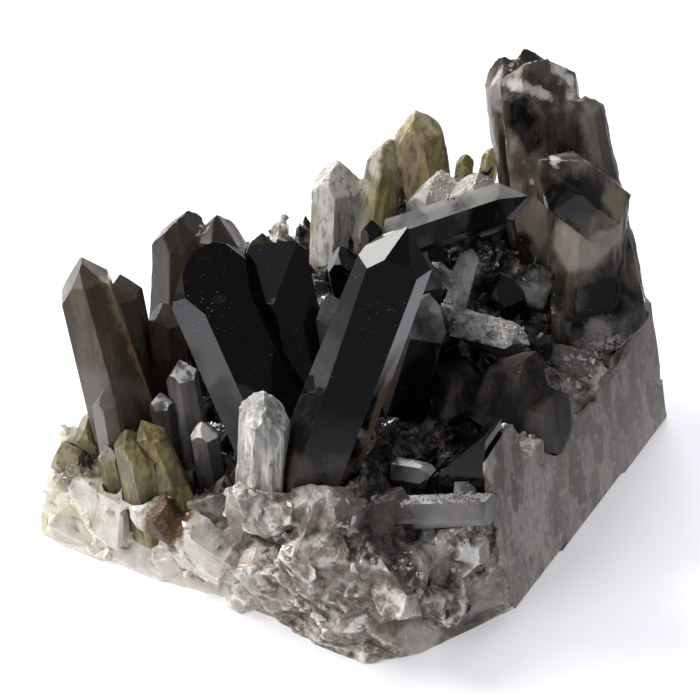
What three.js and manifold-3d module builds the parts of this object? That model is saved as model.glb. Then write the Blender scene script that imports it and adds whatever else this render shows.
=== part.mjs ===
// Morion quartz cluster, about 140 x 145 x 120 mm: near-black crystals on a block of milky quartz.
// Millimetres, +Z up. The origin is at the middle of the footprint, on the flat cut underside.
// +X is the sawn side, -Y the broken front.

import * as THREE from 'three';
import { mergeVertices } from 'three/addons/utils/BufferGeometryUtils.js';
import { ImprovedNoise } from 'three/addons/math/ImprovedNoise.js';
import Module from 'manifold-3d';

const wasm = await Module();
wasm.setup();

// Driving dimensions of the block
const BLOCK = { left: -68.5, right: 73, front: -71.5, back: 71.5 };
const BLOCK_STEPS = { across: 18, deep: 19, high: 4 };
const WALL_LEAN = { left: 0.06, right: 0.2, front: 0.3, back: 0.05 };
// How deep the breaks are and how wide apart; the front is broken deeper than the other walls
const ROUGHNESS = { wall: 2.6, front: 3.4, wallGrain: 11, top: 2.0, topGrain: 8 };
// Finer breaks on the coarse ones: how many times finer, how deep beside them, and how far they
// are moved so that the two don't line up
const FINE_BREAKS = { finer: 2.7, depth: 0.5, shift: 31 };
// The sawn side is one flat plane that leans in a little
const SAW = { turn: THREE.MathUtils.degToRad(-1.5), distance: 68.9 };
// The corner between the front and the sawn side is broken off
const CHAMFER = { turn: THREE.MathUtils.degToRad(-31), lean: 0.2, distance: 73.5, keep: 0.12 };
// The corner between the front and the left side
const CORNER = { turn: THREE.MathUtils.degToRad(-129), lean: 0.25, distance: 93 };
// A shallow bay in the foot of the front
const BAY = { middle: 2, half: 20, depth: 4.5 };

// A broken lump in a cube of half-width 1: how many flat breaks it has, how far apart they turn and
// how near they come to its middle
const CHIP = {
  breaks: 6, turn: 0.382, turnSpread: 0.3, steepest: 0.95, nearest: 0.76, farthest: 0.96,
};
// Lumps along the walls: their margins from the block's corners, and how deep they sit in the wall
const WALL_CHIPS = { left: 6, right: 22, front: 8, back: 8, inset: 0.45, shape: [1.2, 1, 0.9] };
// Small crystals on the bed: the margins that they keep, how deep they root, and how many radii long
// they are
const DRUSE = {
  left: 7, right: 12, front: 18, back: 12, root: 3, shortest: 2.4, longest: 4.4, upright: 0.9,
};
// Steps of the golden ratio spread places evenly over a width
const GOLDEN = 0.618;
// The groups that the saw went through
const SAWN_GROUPS = ['crystals_hollow', 'crystal_peak', 'crystals_ledge'];

// Quartz: the end faces of a crystal lean 51.8 degrees out from its long axis
const END_FACE_TILT = THREE.MathUtils.degToRad(51.8);
const SIDE_COUNT = 6;
const SIDE_TURN = THREE.MathUtils.degToRad(360 / SIDE_COUNT);
const EVEN_TAPER = [0.8, 0.8, 0.8, 0.8, 0.8, 0.8];
// A plain crystal's sides and ends, as shares of its radius
const EVEN_SIDES = [1, 0.88, 0.96, 1, 0.9, 0.98];
const EVEN_ENDS = [0, 0.25, 0, 0.35, 0.05, 0.3];
// Clearance between a crystal's root and the socket that it grew in
const GAP = 0.3;

// Height of the crystal bed above the underside, in rows from the front to the back,
// each from the left to the right
const BED = [
  [18, 20, 22, 35, 45, 30, 24],
  [20, 24, 27, 34, 44, 28, 34],
  [24, 30, 34, 38, 42, 34, 40],
  [26, 34, 42, 46, 46, 38, 38],
  [28, 38, 48, 54, 52, 42, 30],
  [30, 40, 50, 58, 58, 48, 32],
  [26, 36, 46, 54, 56, 50, 42],
];

// Repeatable random numbers from 0 to 1
function seeded(seed) {
  let state = seed;
  return () => {
    state = (state + 0x6d2b79f5) | 0;
    let t = Math.imul(state ^ (state >>> 15), 1 | state);
    t = (t + Math.imul(t ^ (t >>> 7), 61 | t)) ^ t;
    return ((t ^ (t >>> 14)) >>> 0) / 4294967296;
  };
}

function toSolid(geometry) {
  const bare = new THREE.BufferGeometry();
  bare.setAttribute('position', geometry.getAttribute('position'));
  bare.setIndex(geometry.getIndex());
  const merged = mergeVertices(bare, 1e-4);
  return new wasm.Manifold(new wasm.Mesh({
    numProp: 3,
    vertProperties: new Float32Array(merged.getAttribute('position').array),
    triVerts: new Uint32Array(merged.getIndex().array),
  }));
}

function toGeometry(solid) {
  const { vertProperties, triVerts, numProp } = solid.getMesh();
  const positions = new Float32Array((vertProperties.length / numProp) * 3);
  for (let i = 0; i < positions.length / 3; i++) {
    positions.set(vertProperties.subarray(i * numProp, i * numProp + 3), i * 3);
  }
  const geometry = new THREE.BufferGeometry();
  geometry.setAttribute('position', new THREE.BufferAttribute(positions, 3));
  geometry.setIndex(new THREE.BufferAttribute(new Uint32Array(triVerts), 1));
  geometry.computeVertexNormals();
  return geometry;
}

// The direction at a turn about +Z that leans up from the horizontal
function direction(turn, rise) {
  return new THREE.Vector3(
    Math.cos(turn) * Math.cos(rise),
    Math.sin(turn) * Math.cos(rise),
    Math.sin(rise),
  );
}

// Removes what lies further than distance from the origin along outward
function cutBeyond(solid, outward, distance) {
  return solid.trimByPlane([-outward.x, -outward.y, -outward.z], -distance);
}

// One quartz crystal: a six-sided prism that tapers a little, closed by six sloping end faces.
// sides[k] is the distance of side k from the axis at the root, tapers[k] its lean inwards in
// degrees, ends[k] how far below the tip its end face crosses the axis. grow moves every face
// outwards, which makes the socket.
function crystal({ root, tip, roll, sides, ends, tapers = EVEN_TAPER }, grow = 0) {
  const start = new THREE.Vector3(...root);
  const axis = new THREE.Vector3(...tip).sub(start);
  const length = axis.length();
  const reach = 4 * Math.max(...sides) + 4 * grow;
  const blank = new THREE.BoxGeometry(reach, reach, length + grow);
  blank.translate(0, 0, (length + grow) / 2 - grow);
  let solid = toSolid(blank);
  for (let k = 0; k < SIDE_COUNT; k++) {
    const lean = THREE.MathUtils.degToRad(tapers[k]);
    const side = direction(SIDE_TURN * k, lean);
    const end = direction(SIDE_TURN * k, Math.PI / 2 - END_FACE_TILT);
    solid = cutBeyond(solid, side, sides[k] * Math.cos(lean) + grow);
    solid = cutBeyond(solid, end, (length - ends[k]) * end.z + grow);
  }
  const place = new THREE.Matrix4().compose(
    start,
    new THREE.Quaternion()
      .setFromUnitVectors(new THREE.Vector3(0, 0, 1), axis.normalize())
      .multiply(new THREE.Quaternion().setFromAxisAngle(
        new THREE.Vector3(0, 0, 1), THREE.MathUtils.degToRad(roll),
      )),
    new THREE.Vector3(1, 1, 1),
  );
  return solid.transform(place.elements);
}

function union(solids) {
  return solids.reduce((whole, part) => whole.add(part));
}

// The biggest body of a solid, without slivers that a cut has parted from it
function mainBody(solid) {
  return solid.decompose().reduce((best, body) => (body.volume() > best.volume() ? body : best));
}

const noise = new ImprovedNoise();

function roughness(x, y, z, grain) {
  const coarse = noise.noise(x / grain, y / grain, z / grain);
  const fineGrain = grain / FINE_BREAKS.finer;
  const fine = noise.noise(x / fineGrain + FINE_BREAKS.shift, y / fineGrain, z / fineGrain);
  return coarse + FINE_BREAKS.depth * fine;
}

// Height of the crystal bed at a place from 0 to 1 across and from 0 to 1 deep
function bedHeight(across, deep) {
  const column = across * (BED[0].length - 1);
  const row = deep * (BED.length - 1);
  const i = Math.min(Math.floor(column), BED[0].length - 2);
  const j = Math.min(Math.floor(row), BED.length - 2);
  const ease = (t) => t * t * (3 - 2 * t);
  const fi = ease(column - i);
  const fj = ease(row - j);
  const near = THREE.MathUtils.lerp(BED[j][i], BED[j][i + 1], fi);
  const far = THREE.MathUtils.lerp(BED[j + 1][i], BED[j + 1][i + 1], fi);
  return THREE.MathUtils.lerp(near, far, fj);
}

// The milky quartz block: a box with a segmented skin, drawn out to the bed's height and to
// leaning, broken walls, over a flat underside
function block() {
  const skin = new THREE.BoxGeometry(1, 1, 1, BLOCK_STEPS.across, BLOCK_STEPS.deep, BLOCK_STEPS.high);
  skin.translate(0.5, 0.5, 0.5);
  const points = skin.getAttribute('position');
  for (let n = 0; n < points.count; n++) {
    const [u, v, w] = [points.getX(n), points.getY(n), points.getZ(n)];
    const height = bedHeight(u, v);
    let z = w * height;
    let x = THREE.MathUtils.lerp(BLOCK.left + WALL_LEAN.left * z, BLOCK.right - WALL_LEAN.right * z, u);
    let y = THREE.MathUtils.lerp(BLOCK.front + WALL_LEAN.front * z, BLOCK.back - WALL_LEAN.back * z, v);
    y += BAY.depth * Math.exp(-(((x - BAY.middle) / BAY.half) ** 2)) * (1 - v);
    const along = x * Math.cos(CHAMFER.turn) + y * Math.sin(CHAMFER.turn);
    const beyond = along + CHAMFER.lean * z - CHAMFER.distance;
    if (beyond > 0) {
      x -= beyond * (1 - CHAMFER.keep) * Math.cos(CHAMFER.turn);
      y -= beyond * (1 - CHAMFER.keep) * Math.sin(CHAMFER.turn);
    }
    if (w > 0) {
      const bite = Math.abs(roughness(x, y, z, ROUGHNESS.wallGrain));
      if (u === 0) x += ROUGHNESS.wall * bite;
      if (v === 0) y += ROUGHNESS.front * bite;
      if (v === 1) y -= ROUGHNESS.wall * bite;
      if (w === 1) z += ROUGHNESS.top * roughness(x, y, 0, ROUGHNESS.topGrain);
    }
    points.setXYZ(n, x, y, z);
  }
  return cutBeyond(toSolid(skin), direction(CORNER.turn, CORNER.lean), CORNER.distance);
}

// A small crystal with even sides, used where only its size and direction matter
function evenCrystal(root, tip, radius, roll) {
  const sides = EVEN_SIDES.map((share) => share * radius);
  const ends = EVEN_ENDS.map((share) => share * radius);
  return { root, tip, roll, sides, ends };
}

// A broken lump of quartz: a block with its corners knocked off by flat breaks
function chip([x, y, z], [wide, deep, high], seed) {
  const random = seeded(seed);
  let solid = toSolid(new THREE.BoxGeometry(2, 2, 2));
  for (let n = 0; n < CHIP.breaks; n++) {
    const turn = 2 * Math.PI * (n * CHIP.turn + random() * CHIP.turnSpread);
    const rise = Math.asin(THREE.MathUtils.lerp(-CHIP.steepest, CHIP.steepest, random()));
    const distance = THREE.MathUtils.lerp(CHIP.nearest, CHIP.farthest, random());
    solid = cutBeyond(solid, direction(turn, rise), distance);
  }
  const place = new THREE.Matrix4().compose(
    new THREE.Vector3(x, y, z),
    new THREE.Quaternion().setFromEuler(new THREE.Euler(random() - 0.5, random() - 0.5, random() - 0.5)),
    new THREE.Vector3(wide / 2, deep / 2, high / 2),
  );
  return solid.transform(place.elements);
}

// Lumps scattered along the front, the back and the left wall, which makes their ledges and
// broken steps
function wallChips({ count, seed, small, large, top }) {
  const random = seeded(seed);
  const wallCount = 3;
  const chips = [];
  for (let n = 0; n < count; n++) {
    const along = (n + random()) / count * wallCount;
    const share = along % 1;
    const size = THREE.MathUtils.lerp(small, large, random());
    const z = top * random();
    const inset = size * WALL_CHIPS.inset;
    const x = THREE.MathUtils.lerp(BLOCK.left + WALL_CHIPS.left, BLOCK.right - WALL_CHIPS.right, share);
    const y = THREE.MathUtils.lerp(BLOCK.front + WALL_CHIPS.front, BLOCK.back - WALL_CHIPS.back, share);
    const places = [
      [x, BLOCK.front + WALL_LEAN.front * z + inset, z],
      [x, BLOCK.back - WALL_LEAN.back * z - inset, z],
      [BLOCK.left + WALL_LEAN.left * z + inset, y, z],
    ];
    const sizes = WALL_CHIPS.shape.map((stretch) => stretch * size);
    chips.push(chip(places[Math.floor(along)], sizes, seed + n));
  }
  return chips;
}

// Small crystals that stand on the bed, leaning away from the middle
function druse({ count, seed, small, large }) {
  const random = seeded(seed);
  const crystals = [];
  for (let n = 0; n < count; n++) {
    const place = { across: (n * GOLDEN) % 1, deep: (n + random()) / count };
    const x = THREE.MathUtils.lerp(BLOCK.left + DRUSE.left, BLOCK.right - DRUSE.right, place.across);
    const y = THREE.MathUtils.lerp(BLOCK.front + DRUSE.front, BLOCK.back - DRUSE.back, place.deep);
    const across = THREE.MathUtils.inverseLerp(BLOCK.left, BLOCK.right, x);
    const deep = THREE.MathUtils.inverseLerp(BLOCK.front, BLOCK.back, y);
    const root = new THREE.Vector3(x, y, bedHeight(across, deep) - DRUSE.root);
    const radius = THREE.MathUtils.lerp(small, large, random() ** 2);
    const lean = new THREE.Vector3(across + random() - 1, deep + random() - 1, DRUSE.upright);
    const length = DRUSE.root + radius * THREE.MathUtils.lerp(DRUSE.shortest, DRUSE.longest, random());
    const tip = root.clone().add(lean.setLength(length));
    crystals.push(evenCrystal(root.toArray(), tip.toArray(), radius, 60 * random()));
  }
  return crystals;
}

const MORION = { color: '#1b1a1b', roughness: 0.12 };
const SMOKY = { color: '#57493a', roughness: 0.2 };
const OLIVE = { color: '#6a6038', roughness: 0.25 };
const MILKY = { color: '#b3b1a2', roughness: 0.45 };

// The crystal groups, the ones in front first: where two of them meet, the earlier one keeps
// its shape and the later one is cut by its socket
const CRYSTAL_GROUPS = [
  {
    name: 'crystal_front',
    finish: MORION,
    crystals: [
      {
        root: [11.7, -51, 28], tip: [38.7, -42.5, 122], roll: -4,
        sides: [10, 10.3, 8, 11, 8.9, 9.2], tapers: [1.3, 1.2, 0.8, 2.6, 0.2, 2.2],
        ends: [2, 2, 2, 2, 2.2, 2],
      },
    ],
  },
  {
    name: 'crystal_milky',
    finish: MILKY,
    crystals: [
      {
        root: [4, -59, 30], tip: [5, -57, 74], roll: 10,
        sides: [7.2, 6.4, 6, 7, 6, 6], tapers: [0.5, 0.5, 0.5, 0.5, 0.5, 0.5],
        ends: [7, 4, 6, 4, 7, 5],
      },
    ],
  },
  {
    name: 'crystals_centre',
    finish: MORION,
    crystals: [
      {
        root: [2.6, -42, 27], tip: [-37, -31, 86.5], roll: 20,
        sides: [14, 13, 9, 9.3, 9.7, 11.7], tapers: [0.5, 0.5, 0.5, 0.5, 0.5, 0.5],
        ends: [-6, -6, 2, 4.5, 2.2, 5.5],
      },
      {
        root: [2, -27, 28], tip: [-18, -17, 88], roll: -17,
        sides: [7, 9, 9, 9, 9, 11], tapers: [0.5, 0.5, 0.5, 0.5, 0.5, 0.5],
        ends: [-5, -4, 3, -6, -4, 4],
      },
      evenCrystal([-10, -9, 46], [-19, -5, 84], 4.4, 20),
    ],
  },
  {
    name: 'crystal_left',
    finish: MORION,
    crystals: [
      {
        root: [-46, -45, 9], tip: [-62, -46.5, 85], roll: 38,
        sides: [9.9, 9.5, 9, 10.6, 9.2, 8.8], tapers: [2.9, 1.2, 1, 3, 1.7, 1.1],
        ends: [2.6, 2, 2, 5, 0, 0],
      },
    ],
  },
  {
    name: 'crystal_left_foot',
    finish: MORION,
    crystals: [
      evenCrystal([-44, -58, 16], [-48, -57, 50], 4, 20),
    ],
  },
  {
    name: 'crystals_front_left',
    finish: OLIVE,
    crystals: [
      {
        root: [-30, -62, 8], tip: [-36, -61, 46], roll: 15,
        sides: [6, 6, 6, 6, 5.5, 6], ends: [5, 4, 3, 0, 1, 3],
      },
      {
        root: [-16, -60, 8], tip: [-35, -58, 46], roll: 40,
        sides: [4.5, 5, 5, 5, 4.5, 5], ends: [2, 2, 1, 1, 1, 2],
      },
      evenCrystal([-40, -62, 8], [-45, -62, 35], 3.4, 5),
    ],
  },
  {
    name: 'crystal_left_edge',
    finish: OLIVE,
    crystals: [
      evenCrystal([-56, -44, 6], [-58, -53, 35], 6, 30),
    ],
  },
  {
    name: 'crystal_left_corner',
    finish: OLIVE,
    crystals: [
      evenCrystal([-58, -56, 4], [-64, -59, 27], 5, 10),
    ],
  },
  {
    name: 'crystals_between',
    finish: MORION,
    crystals: [
      evenCrystal([-28, -42, 18], [-35, -39, 54], 4.6, 20),
      evenCrystal([-34, -46, 16], [-38, -45, 45], 3.6, 0),
    ],
  },
  {
    name: 'crystal_between_low',
    finish: MORION,
    crystals: [
      evenCrystal([-18, -49, 16], [-22, -48, 43], 4, 40),
    ],
  },
  {
    name: 'crystals_behind_left',
    finish: MORION,
    crystals: [
      evenCrystal([-54, -30, 14], [-63, -27, 67], 6, 15),
      evenCrystal([-46, -26, 18], [-52, -22, 58], 5.5, 40),
    ],
  },
  {
    name: 'crystals_back_left',
    finish: SMOKY,
    crystals: [
      {
        root: [-58, -8, 14], tip: [-55, -3, 85], roll: 10,
        sides: [9, 8.5, 8.5, 9, 9, 9], ends: [10, 4, 6, 9, 4, 8],
      },
      {
        root: [-46, -3, 20], tip: [-46, 4, 82], roll: 30,
        sides: [9, 8.5, 8.5, 9, 9, 9], ends: [10, 4, 6, 4, 4, 8],
      },
      evenCrystal([-34, -4, 30], [-34, 4, 75], 8, 10),
    ],
  },
  {
    name: 'crystals_middle',
    finish: MORION,
    crystals: [
      evenCrystal([6, -20, 34], [-3, -12, 72], 7, 20),
      evenCrystal([18, -14, 34], [24, -2, 76], 9, 10),
      evenCrystal([16, 4, 44], [14, 10, 78], 7, 30),
    ],
  },
  {
    name: 'crystals_middle_thin',
    finish: MORION,
    crystals: [
      evenCrystal([2, 0, 42], [-8, 3, 77], 5, 40),
      evenCrystal([1, 8, 48], [-1, 9, 84], 3.2, 10),
    ],
  },
  {
    name: 'crystal_lying',
    finish: MORION,
    crystals: [
      {
        root: [4, 13.5, 75], tip: [42, 21, 97.5], roll: 31,
        sides: [4.1, 6.2, 6.1, 5.5, 5.5, 5.5], tapers: [1.1, 0.6, 0.7, 0.8, 0.8, 0.8],
        ends: [0, 1.4, 1, 1, 1, 1],
      },
      evenCrystal([10, 28, 74], [10.5, 29, 95], 8.5, 10),
      evenCrystal([22, 27, 80], [22.5, 28, 98], 8.5, 35),
    ],
  },
  {
    name: 'crystal_under_lying',
    finish: MORION,
    crystals: [
      evenCrystal([8, 32, 50], [2, 36, 70], 5, 20),
    ],
  },
  {
    name: 'crystals_shelf',
    finish: MORION,
    crystals: [
      evenCrystal([6, 13, 52], [48, 16, 53], 5, 0),
      evenCrystal([20, 19, 50], [22, 27, 72], 3.2, 15),
      evenCrystal([23, 22, 58], [11, 22, 66], 2.2, 0),
    ],
  },
  {
    name: 'crystal_behind_shelf',
    finish: MORION,
    crystals: [
      evenCrystal([30, 40, 42], [28, 33, 62], 6, 20),
    ],
  },
  {
    name: 'crystals_hollow',
    finish: MORION,
    crystals: [
      evenCrystal([23, 14, 34], [41, -13, 45], 9.5, 15),
      evenCrystal([45, -2, 36], [52, 10, 59], 8.5, 25),
      evenCrystal([40, 6, 38], [90, 3, 39], 9, 20),
    ],
  },
  {
    name: 'crystal_peak',
    finish: MORION,
    crystals: [
      {
        root: [51, -30, 22], tip: [51, -30, 70], roll: 0,
        sides: [6.5, 9, 9, 9, 10, 6], ends: [2, 2, 2, 20, 4, 4],
      },
    ],
  },
  {
    name: 'crystals_ledge',
    finish: SMOKY,
    crystals: [
      evenCrystal([34, -52, 35], [72, -28, 36], 4.2, 30),
      evenCrystal([47, -33, 42], [57, -36, 37], 3.4, 10),
    ],
  },
  {
    name: 'crystal_ledge_prism',
    finish: SMOKY,
    crystals: [
      evenCrystal([32, -35, 37], [46, -35, 40], 3.4, 0),
    ],
  },
  {
    name: 'crystal_ledge_brown',
    finish: SMOKY,
    crystals: [
      evenCrystal([45, -42, 26], [53, -50, 25], 3.4, 10),
    ],
  },
  {
    name: 'crystals_back_right',
    finish: SMOKY,
    crystals: [
      {
        root: [42, 54, 30], tip: [23, 55, 133], roll: 20,
        sides: [11.5, 11, 11, 11, 11, 11], tapers: [0.5, 0.5, 0.5, 0.5, 0.5, 0.5],
        ends: [4, 10, 14, 4, 10, 14],
      },
      evenCrystal([28.5, 59, 50], [13.5, 58, 118.5], 7, 45),
      evenCrystal([32, 63, 60], [18.5, 61, 121], 6.5, 15),
      evenCrystal([59, 57, 47], [39.5, 57, 112.5], 5.5, 20),
      {
        root: [53.4, 47, 82], tip: [36.5, 31.5, 103], roll: -7,
        sides: [9, 8.6, 9, 9, 9, 9], ends: [2, 2, 2, 2, 2, 2],
      },
      evenCrystal([47.5, 50, 24], [46, 52, 97], 11.6, 10),
      evenCrystal([40, 44, 44], [69, 60, 46], 10.5, 0),
    ],
  },
  {
    name: 'crystals_back',
    finish: OLIVE,
    crystals: [
      evenCrystal([-32, 41, 30], [-31, 42, 80], 8, 20),
      evenCrystal([-22, 44, 40], [-16, 48, 88], 6.5, 10),
      evenCrystal([-1, 52, 46], [-11, 52, 98], 7.5, 35),
    ],
  },
  {
    name: 'crystals_back_thin',
    finish: OLIVE,
    crystals: [
      evenCrystal([4, 66, 44], [8, 67, 82], 3.4, 5),
      evenCrystal([-3, 66, 44], [-1, 68, 77], 3.4, 25),
    ],
  },
];

// Quartz of the block itself that stands up as crystal-shaped ridges
const RIDGES = [
  evenCrystal([65, -22, 6], [61, -27, 62], 10.5, 5),
  evenCrystal([62, 58, 20], [62, 62, 52], 8, 10),
  evenCrystal([6, 46, 40], [6, 56, 76], 9, 5),
  evenCrystal([-10, 44, 40], [-8, 55, 72], 8, 30),
];

// Lumps of broken quartz: place of the middle, then size across, deep and high
const LUMPS = [
  chip([20, -57, 38], [18, 14, 16], 1),
  chip([28, -58, 36], [16, 12, 14], 2),
  chip([11, -62, 33], [14, 12, 16], 3),
  chip([37, -50, 35], [12, 12, 12], 4),
  chip([1, -62, 28], [8, 9, 30], 5),
  chip([27, -64, 22], [24, 14, 20], 6),
  chip([39, -58, 22], [18, 14, 16], 7),
  chip([47, -53, 22], [14, 13, 15], 8),
  chip([40, -62, 9], [22, 14, 15], 9),
  chip([54, -48, 11], [14, 14, 16], 10),
  chip([57, -41, 22], [12, 12, 12], 11),
  chip([-25, -65, 18], [17, 12, 15], 12),
  chip([-44, -67, 14], [20, 10, 16], 13),
  chip([-57, -60, 13], [14, 12, 14], 14),
  chip([-11, -67, 15], [20, 11, 18], 15),
  chip([12, -66, 12], [18, 12, 18], 16),
  chip([0, 58, 64], [24, 16, 14], 17),
  chip([8, 57, 70], [12, 10, 10], 18),
  chip([53, 50, 33], [16, 14, 14], 19),
  chip([43, 44, 38], [14, 12, 12], 20),
  chip([60, 36, 30], [10, 12, 10], 21),
  chip([50, 34, 35], [12, 9, 10], 23),
  chip([57, 22, 29], [9, 9, 8], 24),
  chip([45, 24, 38], [9, 10, 8], 25),
  chip([36, 39, 55], [11, 6, 13], 22),
];

// How far the block reaches along each outward direction, with its lumps
const OUTSIDES = [
  { outward: direction(0, -Math.PI / 2), reach: 0 },
  { outward: direction(-Math.PI / 2, 0), reach: 1 - BLOCK.front },
  { outward: direction(Math.PI / 2, 0), reach: 1 + BLOCK.back },
  { outward: direction(Math.PI, 0), reach: 1 - BLOCK.left },
];

const model = new THREE.Group();

function addPiece(name, solid, { color, roughness: gloss }) {
  const material = new THREE.MeshStandardMaterial({ color, roughness: gloss, metalness: 0 });
  const mesh = new THREE.Mesh(toGeometry(solid), material);
  mesh.name = name;
  model.add(mesh);
}

// Cuts away what stands past the sawn side
function sawn(solid) {
  const lean = Math.atan(WALL_LEAN.right);
  return cutBeyond(solid, direction(SAW.turn, lean), SAW.distance * Math.cos(lean));
}

let sockets = null;
for (const { name, finish, crystals } of CRYSTAL_GROUPS) {
  let solid = union(crystals.map((each) => crystal(each)));
  if (SAWN_GROUPS.includes(name)) {
    solid = sawn(solid);
  }
  if (sockets) {
    solid = solid.subtract(sockets);
  }
  const socket = union(crystals.map((each) => crystal(each, GAP)));
  sockets = sockets ? sockets.add(socket) : socket;
  addPiece(name, mainBody(solid), finish);
}

const grown = [...RIDGES, ...druse({ count: 36, seed: 5, small: 1.6, large: 4.2 })];
const lumps = [...LUMPS, ...wallChips({ count: 22, seed: 40, small: 9, large: 18, top: 30 })];
const rough = union([block(), ...grown.map((each) => crystal(each)), ...lumps]);
let standing = sawn(rough);
for (const { outward, reach } of OUTSIDES) {
  standing = cutBeyond(standing, outward, reach);
}
addPiece('matrix', mainBody(standing.subtract(sockets)), MILKY);

// The middle of the footprint goes to the origin
const middle = new THREE.Box3().setFromObject(model).getCenter(new THREE.Vector3());
model.position.set(-middle.x, -middle.y, 0);

export default model;
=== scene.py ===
import math

import bmesh
import bpy
import numpy as np
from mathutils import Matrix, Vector


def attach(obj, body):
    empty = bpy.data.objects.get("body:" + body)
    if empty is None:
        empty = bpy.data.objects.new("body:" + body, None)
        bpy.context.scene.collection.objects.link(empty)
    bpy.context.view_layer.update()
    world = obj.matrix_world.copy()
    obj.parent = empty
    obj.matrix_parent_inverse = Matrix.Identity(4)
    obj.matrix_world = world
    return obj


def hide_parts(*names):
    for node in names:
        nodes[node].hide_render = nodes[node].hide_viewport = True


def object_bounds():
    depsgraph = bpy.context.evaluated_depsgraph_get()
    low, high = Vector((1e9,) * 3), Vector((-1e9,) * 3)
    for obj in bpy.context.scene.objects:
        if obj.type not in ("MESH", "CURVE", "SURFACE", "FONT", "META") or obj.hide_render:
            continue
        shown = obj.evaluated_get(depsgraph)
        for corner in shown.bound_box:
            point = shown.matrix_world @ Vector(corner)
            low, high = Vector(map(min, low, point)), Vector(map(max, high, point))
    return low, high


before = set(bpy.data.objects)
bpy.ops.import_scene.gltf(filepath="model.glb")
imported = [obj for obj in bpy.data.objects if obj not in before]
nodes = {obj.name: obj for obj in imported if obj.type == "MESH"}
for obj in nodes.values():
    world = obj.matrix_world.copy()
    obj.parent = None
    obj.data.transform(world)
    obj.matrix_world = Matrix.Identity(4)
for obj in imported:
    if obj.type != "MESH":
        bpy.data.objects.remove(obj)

cad_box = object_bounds()
scene = bpy.context.scene


# Camera. The cluster is seen from above its broken front corner, 30 degrees round from the front
# and 35 degrees down, with a long lens on a square picture.
CAMERA_TURN = math.radians(30)
CAMERA_RISE = math.radians(35)
CAMERA_DISTANCE = 0.545
CAMERA_TARGET = Vector((0.0029, -0.0105, 0.052))
LENS_MM = 100

sight = Vector((
    -math.sin(CAMERA_TURN) * math.cos(CAMERA_RISE),
    math.cos(CAMERA_TURN) * math.cos(CAMERA_RISE),
    -math.sin(CAMERA_RISE),
))
lens = bpy.data.cameras.new("camera")
lens.lens = LENS_MM
lens.sensor_width = 36
lens.clip_start = 0.01
camera = bpy.data.objects.new("camera", lens)
camera.location = CAMERA_TARGET - sight * CAMERA_DISTANCE
camera.rotation_euler = sight.to_track_quat("-Z", "Y").to_euler()
scene.collection.objects.link(camera)
scene.camera = camera


# Studio. A wide pale table, white along a band that runs away from the camera and greyer beside it. Over
# it a window at the left, a broad light behind, a fill at the front left, a bright wall and a dim ceiling.
TABLE_HALF = 3.0
BAND_WIDENS = 0.11
BAND_RIGHT = (0.110, 0.132)
BAND_LEFT = (0.135, 0.250)
BAND_NEAR = (0.105, 0.150)
BRIGHT_WALL = Vector((-0.72, 0.62, 0.30))


def linear(colour):
    """An sRGB hex colour as linear red, green, blue and alpha."""
    shares = [int(colour[i:i + 2], 16) / 255 for i in (1, 3, 5)]
    return tuple(s / 12.92 if s <= 0.04045 else ((s + 0.055) / 1.055) ** 2.4 for s in shares) + (1.0,)


def add_node(tree, kind, settings=None, inputs=None):
    """A node with its settings. An input, by name or number, takes a value or is linked to a socket,
    or to the first output of another node."""
    node = tree.nodes.new(kind)
    for name, value in (settings or {}).items():
        setattr(node, name, value)
    for name, value in (inputs or {}).items():
        named = (socket for socket in node.inputs if socket.name == name and socket.enabled)
        socket = node.inputs[name] if isinstance(name, int) else next(named)
        if isinstance(value, bpy.types.Node):
            value = next(output for output in value.outputs if output.enabled)
        if isinstance(value, bpy.types.NodeSocket):
            tree.links.new(value, socket)
        else:
            socket.default_value = value
    return node


def painted(tree, colour, coats):
    """A colour with coats laid over it in turn. Each coat is how much it covers, and its colour."""
    for cover, coat in coats:
        if isinstance(coat, str):
            coat = linear(coat)
        colour = add_node(tree, "ShaderNodeMix", {"data_type": "RGBA"}, {
            "Factor": cover, "A": colour, "B": coat,
        })
    return colour


def new_material(name):
    """An empty material, its node tree and the place on the object in metres."""
    material = bpy.data.materials.new(name)
    material.use_nodes = True
    tree = material.node_tree
    tree.nodes.clear()
    return material, tree, add_node(tree, "ShaderNodeTexCoord").outputs["Object"]


def linked(name, mesh):
    """A new object in the scene that holds the mesh."""
    piece = bpy.data.objects.new(name, mesh)
    scene.collection.objects.link(piece)
    return piece


table_mesh = bpy.data.meshes.new("table")
corners = [(x * TABLE_HALF, y * TABLE_HALF, 0) for x, y in ((-1, -1), (1, -1), (1, 1), (-1, 1))]
table_mesh.from_pydata(corners, [], [(0, 1, 2, 3)])
table = linked("table", table_mesh)
# Satin laminate: near white with a broad faint sheen, and a faint glow of painted light that lifts its
# shadows
laminate, tree, place = new_material("white_laminate")
turned = add_node(tree, "ShaderNodeMapping", inputs={"Vector": place, "Rotation": (0, 0, -CAMERA_TURN)})
across, along = add_node(tree, "ShaderNodeSeparateXYZ", inputs={0: turned}).outputs[:2]
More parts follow.
